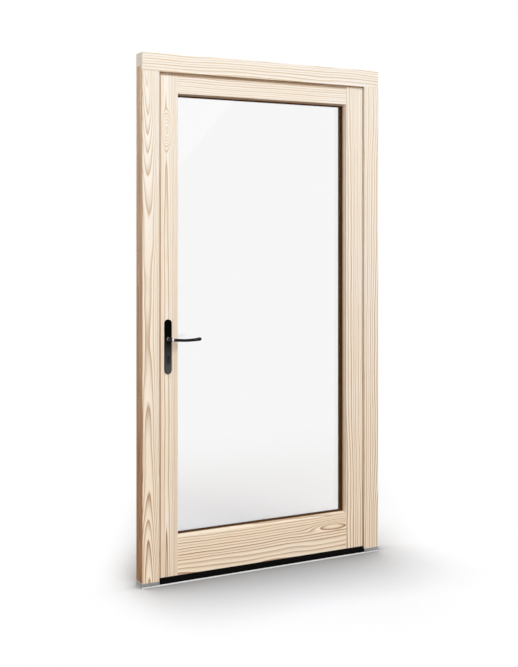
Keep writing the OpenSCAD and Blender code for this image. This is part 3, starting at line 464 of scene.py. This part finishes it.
# %% Boards
EYE_ON_STILE = Eye((-0.437, -0.019, 1.800), (0.048, 0.400, 0.095), 0.032)
EYE_ON_RAIL = Eye((0.325, -0.019, 0.138), (0.170, 0.400, 0.026), 0.0235)
BOARDS = (
    Board("jamb_lock", False, (-0.012, 0.012), (-0.003, 0.004), 0.026, 0.0046, 0.010, 11.0),
    Board("jamb_hinge", False, (0.080, 0.050), (0.004, -0.004), 0.0, 0.0070, 0.012, 23.0),
    Board("head", True, (0.075, 0.050), (0.004, 0.006), 0.0, 0.0072, 0.012, 31.0),
    Board("stile_lock", False, (0.0035, -0.020), (0.003, 0.002), 0.0, 0.0058, 0.005, 47.0, (EYE_ON_STILE,)),
    Board("stile_hinge", False, (-0.090, 0.050), (0.003, 0.005), 0.0, 0.0070, 0.012, 53.0),
    Board("rail_top", True, (-0.080, 0.050), (0.003, -0.004), 0.0, 0.0070, 0.010, 61.0),
    Board("rail_bottom", True, (0.105, 0.060), (0.004, 0.006), 0.0, 0.0094, 0.016, 71.0, (EYE_ON_RAIL,)),
    Board("bead_lock", False, (0.060, -0.060), (0.004, 0.002), 0.0, 0.0045, 0.006, 83.0),
    Board("bead_hinge", False, (-0.060, -0.055), (0.003, 0.002), 0.0, 0.0045, 0.006, 89.0),
    Board("bead_top", True, (0.055, -0.060), (0.003, 0.002), 0.0, 0.0045, 0.006, 97.0),
    Board("bead_bottom", True, (-0.050, -0.062), (0.003, 0.002), 0.0, 0.0045, 0.006, 101.0),
)
for board in BOARDS:
    dress(pine(board), board.node)

# %% [markdown]
# ## Beech dowels
# The corner joints are dowelled. The dowels are hidden in the timber, yet they still get the short flecks
# that turned beech shows, so that the door looks right when it is shown taken apart.

# %% Dowels
BEECH_PALE, BEECH_DARK = colour(214, 178, 136), colour(186, 143, 98)


def beech():
    """Pinkish wood with short flecks along X and Z: noise stretched along the dowels."""
    f = Finish("beech")
    flecks = f.noise(f.mapping(f.object, Scale=(160.0, 420.0, 160.0)), 1.0, seed=5.0, detail=3.0)
    f.look(Base_Color=f.blend(flecks, BEECH_PALE, BEECH_DARK), Roughness=0.6)
    f.bump(flecks, distance=0.0002, strength=0.5)
    return f


dress(beech(), "frame_dowels", "leaf_dowels")

# %% [markdown]
# ## Clear glass
# Each pane is a real slab of glass. Rays from lamps would stop at a refracting slab and leave a black
# shadow behind the door, so those rays meet a clear, slightly blue-grey shader instead: part of the light
# falls through, and the floor behind the door keeps a soft shade.

# %% Glass
GLASS, GLASS_SHADE = colour(252, 252, 252), colour(206, 212, 219)


def window_glass():
    """Clear glass with a faint drift in its surface, which lets part of the lamps' light pass."""
    f = Finish("window_glass")
    drift = f.noise(f.object, scale=3.0, seed=2.0, detail=1.0)
    f.look(Base_Color=GLASS, Roughness=0.0, IOR=1.5, Transmission_Weight=1.0)
    f.bump(drift, distance=0.0002, strength=0.1)
    from_lamp = f.add("ShaderNodeLightPath").outputs["Is Shadow Ray"]
    f.show_instead(from_lamp, f.add("ShaderNodeBsdfTransparent", Color=GLASS_SHADE))
    return f


dress(window_glass(), "pane_outer", "pane_inner")

# %% [markdown]
# ## Rubber and plastic
# The seals are black rubber, the gaskets and the spacer round the glass are brown rubber with a dry skin,
# and the threshold's core is a matt black plastic with a fine moulded grain. One plain colour would look
# like paint, so each finish is a short formula: a noise that moves the colour, the roughness and the relief
# together.

# %% Rubber and plastic


def rubber(name, dark, bloomed):
    """Rubber: a dusty bloom in soft patches over a fine skin."""
    f = Finish(name)
    bloom = f.noise(f.object, scale=40.0, seed=1.0, detail=3.0)
    skin = f.noise(f.object, scale=1400.0, seed=2.0, detail=2.0)
    f.look(Base_Color=f.blend(bloom, dark, bloomed), Specular_IOR_Level=0.03)
    f.look(Roughness=f.spread(bloom, 0.62, 0.76))
    f.bump(skin, distance=0.0001, strength=0.4)
    return f


def black_plastic():
    """Matt black plastic with the fine grain of its mould."""
    f = Finish("black_plastic")
    grain = f.noise(f.object, scale=1100.0, seed=4.0, detail=3.0)
    patches = f.noise(f.object, scale=25.0, seed=5.0, detail=2.0)
    f.look(Base_Color=f.blend(patches, colour(4, 4, 4), colour(8, 8, 8)), Specular_IOR_Level=0.05)
    f.look(Roughness=f.spread(patches, 0.5, 0.62))
    f.bump(grain, distance=0.0001, strength=0.5)
    return f


def block_plastic():
    """Blue plastic of the blocks that carry the glass."""
    f = Finish("block_plastic")
    patches = f.noise(f.object, scale=60.0, seed=6.0, detail=3.0)
    f.look(Base_Color=f.blend(patches, colour(58, 92, 160), colour(72, 108, 176)), Roughness=0.5)
    f.bump(patches, distance=0.0002, strength=0.3)
    return f


black_rubber = rubber("black_rubber", colour(20, 19, 18), colour(34, 32, 31))
brown_rubber = rubber("brown_rubber", colour(76, 44, 14), colour(102, 62, 24))
dress(black_rubber, "weather_seal", "flange_seal", "bottom_seal", "glass_sealant")
dress(brown_rubber, "gasket_outer", "gasket_inner", "glass_spacer")
dress(black_plastic(), "threshold_core")
dress(block_plastic(), "glazing_blocks")

# %% [markdown]
# ## Metals
# The threshold's base and the feet under the jambs are drawn aluminium with fine lines along their length.
# The hinges, keeps and lock are zinc plated steel with a cloudy sheen, and the cylinder is black nickel.
# Polished mirrors would look like chrome, so a noise that is stretched along the way in which each metal
# was drawn, rolled or brushed breaks up the shine.

# %% Metals


def drawn_aluminium(name, dark, pale, metal):
    """Aluminium drawn along X: lines from noise that hardly changes along X."""
    f = Finish(name)
    lines = f.noise(f.mapping(f.object, Scale=(3.0, 900.0, 900.0)), 1.0, seed=8.0, detail=3.0)
    cloud = f.noise(f.object, scale=14.0, seed=9.0, detail=3.0)
    f.look(Base_Color=f.blend(lines, dark, pale), Metallic=metal)
    f.look(Roughness=f.spread(cloud, 0.32, 0.45))
    f.bump(lines, distance=0.0001, strength=0.4)
    return f


def zinc_plate():
    """Bright zinc on steel: cloudy patches of two greys and fine rolling lines along Z."""
    f = Finish("zinc_plate")
    lines = f.noise(f.mapping(f.object, Scale=(700.0, 700.0, 25.0)), 1.0, seed=12.0, detail=2.0)
    cloud = f.noise(f.object, scale=55.0, seed=13.0, detail=4.0)
    f.look(Base_Color=f.blend(cloud, colour(196, 199, 204), colour(224, 225, 226)), Metallic=1.0)
    f.look(Roughness=f.spread(cloud, 0.24, 0.42))
    f.bump(lines, distance=0.0001, strength=0.3)
    return f


def black_nickel():
    """Black nickel of the lock cylinder, with fine lines along its length."""
    f = Finish("black_nickel")
    brush = f.noise(f.mapping(f.object, Scale=(1500.0, 40.0, 1500.0)), 1.0, seed=15.0, detail=2.0)
    f.look(Base_Color=f.blend(brush, colour(46, 46, 48), colour(72, 72, 74)), Metallic=1.0)
    f.look(Roughness=f.spread(brush, 0.3, 0.42))
    f.bump(brush, distance=0.0001, strength=0.3)
    return f


bright_aluminium = drawn_aluminium("bright_aluminium", colour(236, 236, 237), colour(250, 250, 250), 0.25)
dull_aluminium = drawn_aluminium("dull_aluminium", colour(150, 151, 153), colour(186, 187, 188), 0.8)
dress(bright_aluminium, "threshold_base")
dress(dull_aluminium, "foot_lock", "foot_hinge")
hinge_nodes = [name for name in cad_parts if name.startswith("hinge_")]
keep_nodes = [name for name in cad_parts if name.startswith("keep_")]
lock_nodes = ("faceplate", "faceplate_screws", "gear_case", "cylinder_screw", "spindle", "follower",
              "drive_rod", "rod_bridge", "roller_cams", "dead_bolt", "cylinder_cam", "foot_screws")
dress(zinc_plate(), *hinge_nodes, *keep_nodes, *lock_nodes)
dress(black_nickel(), "cylinder_body", "plug_outer", "plug_inner")

# %% [markdown]
# ## Black handles
# The levers and plates are black lacquered metal. The lever is glossy, with painted highlights: a bright
# metal ring at the foot of its neck and another at its elbow, where glints fall. The rings could be pieces of
# their own; here they are painted on the lacquer by distance from a plane, which keeps their edges sharp and
# the surface whole. The plate has a satin skin that is painted greyer towards its lower end, as a painted
# reflection.

# %% Handle finishes
SPINDLE = np.mean(np.array(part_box("spindle")), axis=0)
LEAF_OUT, LEAF_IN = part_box("plate_outer")[1].y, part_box("plate_inner")[0].y
PLATE = LEAF_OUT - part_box("plate_outer")[0].y
REACH = 0.047
# Painted highlights: bright metal rings on the lever, where glints fall.
FOOT_RING = (0.0090, 0.0096)
ELBOW_CUT, ELBOW_RING = 0.0045, (0.0040, 0.0046)
GLINT_COLOUR, GLINT_METALLIC, GLINT_ROUGH = colour(236, 236, 238), 0.45, 0.34
# Painted reflection: the satin plate's colour turns grey towards its lower end.
LACQUER_BLACK, SATIN_PAINTED_SHEEN = colour(4, 4, 4), colour(86, 86, 87)
SHEEN_LOW, SHEEN_HIGH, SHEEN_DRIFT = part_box("plate_outer")[0].z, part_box("spindle")[1].z + 0.02, 0.03
GLOSS_SPREAD = 0.08


def painted_glint_rings(f):
    """Painted highlights, where the lever shows bright metal: a ring at the foot of its neck, and a ring about
    the plane that cuts its elbow, x + out = reach + cut, with x from the spindle and out from the leaf's face."""
    x = f.math("SUBTRACT", f.place(X_AXIS), float(SPINDLE[0]))
    y = f.math("SUBTRACT", f.place(Y_AXIS), (LEAF_OUT + LEAF_IN) / 2)
    out = f.math("SUBTRACT", f.math("ABSOLUTE", y), (LEAF_IN - LEAF_OUT) / 2)
    foot = f.span(out, PLATE + FOOT_RING[0], PLATE + FOOT_RING[1], 1.0, 0.0)
    off_plane = f.math("ABSOLUTE", f.math("SUBTRACT", f.math("ADD", x, out), REACH + ELBOW_CUT))
    return f.math("MAXIMUM", foot, f.span(off_plane, *ELBOW_RING, 1.0, 0.0))


def black_lacquer(name, rough, grain, shine, lower_sheen, painted_glints=False):
    """Black lacquer on metal: a fine orange-peel relief, uneven gloss, a painted reflection that greys the
    skin downwards, and bright rings as painted highlights where asked.
    """
    f = Finish(name)
    peel = f.noise(f.object, scale=900.0, seed=18.0, detail=1.0)
    uneven = f.noise(f.object, scale=60.0, seed=19.0, detail=2.0)
    # Painted reflection: the skin is grey below and black above.
    height = f.math("ADD", f.place(Z_AXIS), f.math("MULTIPLY", uneven, SHEEN_DRIFT))
    skin = f.blend(f.span(height, SHEEN_LOW, SHEEN_HIGH), lower_sheen, LACQUER_BLACK)
    gloss = f.spread(uneven, rough, rough + GLOSS_SPREAD)
    # Painted highlights: rings of bright metal in the black lacquer.
    if painted_glints:
        glint_share = painted_glint_rings(f)
        skin = f.blend(glint_share, skin, GLINT_COLOUR)
        gloss = f.math("MAXIMUM", gloss, f.math("MULTIPLY", glint_share, GLINT_ROUGH))
        f.look(Metallic=f.math("MULTIPLY", glint_share, GLINT_METALLIC))
    f.look(Base_Color=skin, Specular_IOR_Level=shine, Roughness=gloss)
    f.bump(peel, grain, strength=0.4)
    return f


# The satin plates carry the painted reflection, greyer towards their lower end.
satin_lacquer = black_lacquer("satin_lacquer", rough=0.36, grain=0.00006, shine=0.02, lower_sheen=SATIN_PAINTED_SHEEN)
gloss_lacquer = black_lacquer("gloss_lacquer", rough=0.07, grain=0.00002, shine=0.3, lower_sheen=LACQUER_BLACK,
                              painted_glints=True)
dress(satin_lacquer, "plate_outer", "plate_inner", "plate_screws")

# %% [markdown]
# ## Smooth levers: the shape
# The construction's levers are made of flat facets, which would show in a glossy finish. So each lever is
# drawn again as a smooth surface: an oval carried along the path of the neck, the elbow and the grip. A
# curve with a bevel could do this too, but its section could not grow fuller towards the tip in height
# alone.

# %% Shape of a lever
JOURNAL, NECK, NECK_EDGE, PLAY = 0.007, 0.008, 0.0004, 0.0003
ELBOW, SAG = 0.015, 0.003
GRIP_HIGH, GRIP_DEEP = 0.0125, 0.016
WAIST, FULL_TIP, THIN_TIP = 0.1, 0.15, 0.1
NECK_ROWS, ELBOW_ROWS, GRIP_ROWS, TIP_ROWS, COLUMNS = 8, 24, 48, 12, 48


def grip_half(t):
    """Half the grip's height: waisted in the middle and fuller at the tip."""
    return GRIP_HIGH / 2 * (1 - WAIST * np.sin(np.pi * t) + FULL_TIP * t ** 2)


def path_rows(x, out, z, heading, high, deep):
    """Stack a stretch of the path: its middle (x, out, z), heading, half height and half depth."""
    return np.stack(np.broadcast_arrays(x, out, z, heading, high, deep), axis=-1).astype(float)


def lever_path(length):
    """The rows of the journal, the neck, the elbow's quarter circle, the grip and its round tip."""
    foot = PLATE + PLAY
    journal_half = np.array([0.0, JOURNAL, JOURNAL, NECK - NECK_EDGE])
    journal = path_rows(0.0, np.array([0.0, 0.0, foot, foot]), 0.0, 0.0, journal_half, journal_half)
    neck = path_rows(0.0, np.linspace(foot + NECK_EDGE, REACH - ELBOW, NECK_ROWS), 0.0, 0.0, NECK, NECK)
    t = np.linspace(0.0, 1.0, ELBOW_ROWS + 1)[1:]
    a = t * np.pi / 2
    elbow = path_rows(ELBOW * (1 - np.cos(a)), REACH - ELBOW * (1 - np.sin(a)), 0.0, a,
                      NECK + (grip_half(0.0) - NECK) * t, NECK + (GRIP_DEEP / 2 - NECK) * t)
    t = np.linspace(0.0, 1.0, GRIP_ROWS + 1)[1:]
    grip = path_rows(ELBOW + (length - ELBOW) * t, REACH, -SAG * np.sin(np.pi * t), np.pi / 2,
                     grip_half(t), GRIP_DEEP / 2 * (1 - THIN_TIP * t))
    a = np.linspace(0.0, np.pi / 2, TIP_ROWS + 1)[1:]
    tip = path_rows(length + grip_half(1.0) * np.sin(a), REACH, 0.0, np.pi / 2,
                    grip_half(1.0) * np.cos(a), GRIP_DEEP / 2 * (1 - THIN_TIP) * np.cos(a))
    return np.concatenate([journal, neck, elbow, grip, tip])


def lever_points(length):
    """An oval on every row of the path. With a column angle c, a point is middle + side * deep * cos(c)
    + up * high * sin(c), where side stands square to the heading."""
    x, out, z, heading, high, deep = np.moveaxis(lever_path(length)[:, None, :], -1, 0)
    c = np.linspace(0.0, 2 * np.pi, COLUMNS, endpoint=False)[None, :]
    side = deep * np.cos(c)
    return np.stack([x + side * np.cos(heading), out - side * np.sin(heading), z + high * np.sin(c)], axis=-1)


print("lever: grip", GRIP_HIGH, "high and", GRIP_DEEP, "deep,", REACH, "from the leaf")

# %% [markdown]
# ## Smooth levers: the meshes
# A grid of points becomes a closed skin: four-sided faces between neighbouring rows, and a fan of triangles
# at each end. Faces have to point outwards, or the lacquer would shade wrongly. The sign of the volume says
# which way they point, so they are turned round where it is negative.

# %% Levers
OUTER_GRIP, INNER_GRIP = 0.118, 0.076
SHARP_EDGE = math.radians(40)


def surface_mesh(name, points, finish):
    """A closed mesh from a grid of points: rows along the path and columns round it. The first and the last
    row are single points, where the neighbouring row closes in a fan."""
    rows, columns = points.shape[:2]
    corners = np.concatenate([points[:1, 0], points[1:-1].reshape(-1, 3), points[-1:, 0]])
    index = 1 + np.arange((rows - 2) * columns).reshape(rows - 2, columns)
    beside = np.roll(index, -1, axis=1)
    quads = np.stack([index[:-1], beside[:-1], beside[1:], index[1:]], axis=-1).reshape(-1, 4)
    start = np.stack([np.zeros(columns, int), beside[0], index[0]], axis=-1)
    end = np.stack([np.full(columns, len(corners) - 1), index[-1], beside[-1]], axis=-1)
    halves = np.concatenate([quads[:, [0, 1, 2]], quads[:, [0, 2, 3]], start, end])
    first, second, third = np.moveaxis(corners[halves], 1, 0)
    volume = np.einsum("ij,ij->i", first, np.cross(second, third))
    order = slice(None, None, 1 if volume.sum() > 0 else -1)
    faces = quads[:, order].tolist() + start[:, order].tolist() + end[:, order].tolist()
    mesh = bpy.data.meshes.new(name)
    mesh.from_pydata(corners.tolist(), [], faces)
    mesh.polygons.foreach_set("use_smooth", np.ones(len(mesh.polygons), bool))
    mesh.set_sharp_from_angle(angle=SHARP_EDGE)
    mesh.materials.append(finish.material)
    piece = bpy.data.objects.new(name, mesh)
    scene.collection.objects.link(piece)
    return piece


def add_lever(name, node, length, face, direction):
    """Stand a lever on the leaf's outer or inner face, and let it take the place of its construction node."""
    points = lever_points(length) * np.array([1.0, direction, 1.0]) + np.array([SPINDLE[0], face, SPINDLE[2]])
    piece = surface_mesh(name, points, gloss_lacquer)
    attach(piece, "handle")
    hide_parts(node)
    return piece


outer_lever = add_lever("smooth_lever_outer", "lever_outer", OUTER_GRIP, LEAF_OUT, -1.0)
inner_lever = add_lever("smooth_lever_inner", "lever_inner", INNER_GRIP, LEAF_IN, 1.0)
print("levers:", [len(piece.data.polygons) for piece in (outer_lever, inner_lever)], "faces")

# %% [markdown]
# ## Floor and background
# The door stands on a plain white floor. Close to the door the floor is lit by the lamps and darkened where
# the door covers its view of the sky, so it keeps a soft shadow in front of the threshold. Beside the door
# and far behind it the floor fades to the white of the background. A floor that is lit all over would leave
# a grey edge.

# %% Floor
FLOOR_REACH = 14.0
LIT_MIDDLE, LIT_SLANT = 0.03, 0.5
LIT_ASIDE, LIT_BEHIND, LIT_BEFORE = (0.56, 0.82), (0.30, 2.80), (0.90, 1.80)
SHADE_REACH, SHADE_DEPTH, SHADE_SAMPLES = 0.60, 1.45, 16
FLOOR_BLACK, FLOOR_WHITE, FLOOR_BOUNCE = colour(0, 0, 0), colour(248, 250, 253), colour(128, 98, 68)


def seen_part(nodes):
    """1 for what the camera sees directly, in a mirror or through glass, and 0 for light on its way between
    surfaces: the first kinds of ray, as long as no matt surface has scattered them."""
    path = nodes.add("ShaderNodeLightPath").outputs
    seen = nodes.math("MAXIMUM", path["Is Camera Ray"], path["Is Glossy Ray"])
    seen = nodes.math("MAXIMUM", seen, path["Is Transmission Ray"])
    return nodes.math("MULTIPLY", seen, nodes.math("LESS_THAN", path["Diffuse Depth"], 0.5))


def far_from_door(f):
    """0 on the floor near the door to 1 beside, behind and far before it. Behind the door the lit part slants
    to the right, where the camera looks through the glass."""
    depth = f.place(Y_AXIS)
    slant = f.math("MULTIPLY", f.math("MAXIMUM", depth, 0.0), LIT_SLANT)
    aside = f.math("ABSOLUTE", f.math("SUBTRACT", f.math("SUBTRACT", f.place(X_AXIS), slant), LIT_MIDDLE))
    far = f.math("MAXIMUM", f.span(depth, *LIT_BEHIND, smooth=True),
                 f.span(f.math("MULTIPLY", depth, -1.0), *LIT_BEFORE, smooth=True))
    return f.math("MAXIMUM", far, f.span(aside, *LIT_ASIDE, smooth=True))


def white_floor():
    """White paint, darkened near the door by an occlusion node as a painted shadow, and plain white light far
    from it. Light that goes on from the floor to the door is held back, as by the darker floor of a studio
    round a white card."""
    f = Finish("white_floor")
    seen = seen_part(f)
    # Painted shadow: an occlusion node darkens the floor's colour near the door.
    near = f.add("ShaderNodeAmbientOcclusion", {"samples": SHADE_SAMPLES}, Distance=SHADE_REACH)
    white = f.blend(f.math("POWER", near.outputs["AO"], SHADE_DEPTH), FLOOR_BLACK, FLOOR_WHITE)
    f.look(Base_Color=f.blend(seen, FLOOR_BOUNCE, white), Roughness=0.8, Specular_IOR_Level=0.0)
    f.show_instead(f.math("MULTIPLY", seen, far_from_door(f)), f.add("ShaderNodeEmission"))
    return f


def add_sheet(name, corners, faces, finish):
    """A flat piece of the stage, which isn't part of the door."""
    mesh = bpy.data.meshes.new(name)
    mesh.from_pydata(corners, [], faces)
    mesh.materials.append(finish.material)
    piece = bpy.data.objects.new(name, mesh)
    scene.collection.objects.link(piece)
    return piece


floor_corners = [(x * FLOOR_REACH, y * FLOOR_REACH, 0.0) for x, y in ((-1, -1), (1, -1), (1, 1), (-1, 1))]
add_sheet("floor", floor_corners, [(0, 1, 2, 3)], white_floor())
print("floor", round(2 * FLOOR_REACH), "m wide")

# %% [markdown]
# ## A card for the glass
# Clear glass shows itself only by what it mirrors. A grey card beside the camera gives it something to
# mirror: the pane takes on its tone, and above the card's slanting edge the pane stays brighter. Grey glass
# would darken what lies behind it too, so the glass stays clear and only mirrors see the card.

# %% Card
CARD_Y, CARD_FOOT_Y = -2.6, -0.25
CARD_LEFT, CARD_RIGHT, CARD_TOP_LEFT = -0.85, 3.6, 1.9
CARD_LOW, CARD_HIGH = 0.003, 3.2
CARD_GREY = (0.38, 0.38, 0.38, 1.0)
CARD_CORNERS = ((CARD_LEFT, CARD_Y, CARD_LOW), (CARD_RIGHT, CARD_Y, CARD_LOW),
                (CARD_RIGHT, CARD_Y, CARD_HIGH), (CARD_TOP_LEFT, CARD_Y, CARD_HIGH),
                (CARD_LEFT, CARD_FOOT_Y, CARD_LOW), (CARD_RIGHT, CARD_FOOT_Y, CARD_LOW))
CARD_FACES = ((0, 1, 2, 3), (0, 4, 5, 1))


def grey_card():
    """A card that gives off an even grey light."""
    f = Finish("grey_card")
    f.set(f.output, Surface=f.add("ShaderNodeEmission", Color=CARD_GREY).outputs[0])
    return f


card = add_sheet("card", CARD_CORNERS, CARD_FACES, grey_card())
for kind in ("camera", "diffuse", "transmission", "volume_scatter", "shadow"):
    setattr(card, "visible_" + kind, False)
print("card at y =", CARD_Y)

# %% [markdown]
# ## Lamps and sky
# A wide soft lamp in front does most of the work. A narrow one from the left throws the lip's shadow on the
# leaf, one at the side and one behind keep the other faces from going dull, and a faint warm sky fills the
# shade. White light all round would be simpler, but then the corners of pale wood would look grey, not
# brown.

# %% Lamps and world
AMBIENT, WHITE = (0.32, 0.25, 0.176, 1.0), (1.0, 1.0, 1.0, 1.0)


def set_up(name, data, place, target):
    """Stand a lamp at its place, facing its target."""
    lamp = bpy.data.objects.new(name, data)
    lamp.location = place
    lamp.rotation_euler = (Vector(target) - Vector(place)).to_track_quat("-Z", "Y").to_euler()
    lamp.visible_transmission = False
    scene.collection.objects.link(lamp)
    return lamp


def add_soft(name, place, target, size, watts, tint=(1.0, 1.0, 1.0)):
    """A soft lamp that faces its target, size[0] wide and size[1] high."""
    data = bpy.data.lights.new(name, "AREA")
    data.shape = "RECTANGLE"
    data.size, data.size_y = size
    data.energy = watts
    data.color = tint
    set_up(name, data, place, target).visible_camera = False


def add_top(place, strength, spread):
    """Light from the sky above the door: parallel light whose source spans a wide angle."""
    data = bpy.data.lights.new("top", "SUN")
    data.energy = strength
    data.angle = spread
    set_up("top", data, place, (0.0, 0.0, 0.0)).visible_glossy = False


def add_world():
    """White where the camera, a mirror or glass looks at it, and a softer, warmer light on the door."""
    world = bpy.data.worlds.new("studio")
    world.use_nodes = True
    scene.world = world
    nodes = Nodes(world.node_tree)
    nodes.set(world.node_tree.nodes["Background"], Color=nodes.blend(seen_part(nodes), AMBIENT, WHITE))


add_soft("key", (-0.4, -10.0, 7.0), (0.0, 0.0, 1.0), (9.0, 7.0), watts=1300.0, tint=(0.84, 0.92, 1.0))
add_soft("strip", (-3.4, -3.8, 1.5), (-0.44, -0.07, 0.97), (0.5, 1.6), watts=18.0)
add_soft("side", (-3.6, 0.9, 4.0), (-0.55, 0.0, 1.4), (2.0, 2.0), watts=37.0)
add_soft("back", (1.5, 9.5, 2.6), (0.0, 0.0, 1.1), (7.0, 4.0), watts=420.0, tint=(0.9, 0.95, 1.0))
add_top((0.0, 0.1, 2.4), strength=0.62, spread=math.radians(60))
add_world()
scene.view_settings.view_transform = "Standard"

# %% [markdown]
